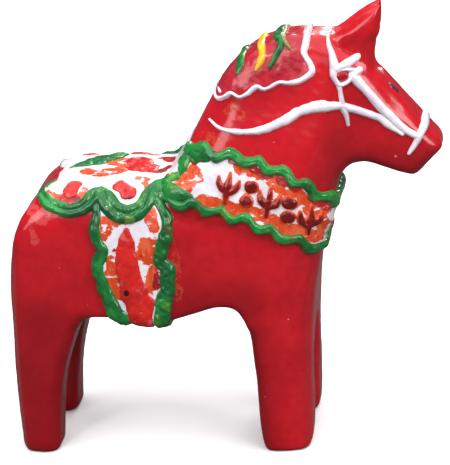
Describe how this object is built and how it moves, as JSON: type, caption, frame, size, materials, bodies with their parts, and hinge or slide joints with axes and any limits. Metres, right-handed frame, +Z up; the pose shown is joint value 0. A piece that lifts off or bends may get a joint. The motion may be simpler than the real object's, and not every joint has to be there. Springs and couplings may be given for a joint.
{
  "type": "painted toy horse figurine",
  "caption": "Standing red toy horse with a scalloped saddle cloth, girth, breast collar, mane patch and bridle in painted relief.",
  "frame": {"origin": "on the floor between the feet, under the middle of the horse's box", "axes": "+X towards the nose, +Y towards the horse's left side, +Z up"},
  "size_m": [0.0698, 0.0262, 0.0706],
  "materials": {
    "red_lacquer": "deep glossy red lacquer",
    "green_paint": "glossy green enamel",
    "white_ground": "glossy white enamel with orange dabs",
    "white_cord": "thick glossy white enamel",
    "mane_red": "glossy red lacquer",
    "eye_red": "glossy red",
    "yellow_paint": "glossy yellow enamel",
    "tan_paint": "thin tan enamel",
    "black_paint": "black enamel",
    "maroon_paint": "glossy maroon enamel",
    "coral_paint": "glossy coral red enamel"
  },
  "bodies": {
    "root": {"breast_collar": "white_ground", "browband_left": "white_cord", "browband_right": "white_cord", "cheek_strap_left": "white_cord", "cheek_strap_right": "white_cord", "collar_berries_left": "maroon_paint", "collar_berries_right": "maroon_paint", "collar_leaves_left": "maroon_paint", "collar_leaves_right": "maroon_paint", "collar_piping_lower": "green_paint", "collar_piping_upper": "green_paint", "crown_strap": "white_cord", "eye_left": "eye_red", "eye_right": "eye_red", "eye_ring_left": "white_cord", "eye_ring_right": "white_cord", "face_dot": "black_paint", "girth_panel": "white_ground", "girth_piping_front": "green_paint", "girth_piping_rear": "green_paint", "girth_tulip_lower_left": "coral_paint", "girth_tulip_lower_right": "coral_paint", "girth_tulip_upper_left": "coral_paint", "girth_tulip_upper_right": "coral_paint", "horse_body": "red_lacquer", "mane_edging": "white_cord", "mane_patch": "mane_red", "mane_stroke_green_front": "green_paint", "mane_stroke_green_rear": "green_paint", "mane_stroke_tan": "tan_paint", "mane_stroke_yellow": "yellow_paint", "noseband": "white_cord", "rein_left": "white_cord", "rein_right": "white_cord", "saddle_berries_left": "coral_paint", "saddle_berries_right": "coral_paint", "saddle_blossom": "coral_paint", "saddle_cloth": "white_ground", "saddle_leaf": "green_paint", "saddle_piping": "green_paint"}
  },
  "joints": []
}
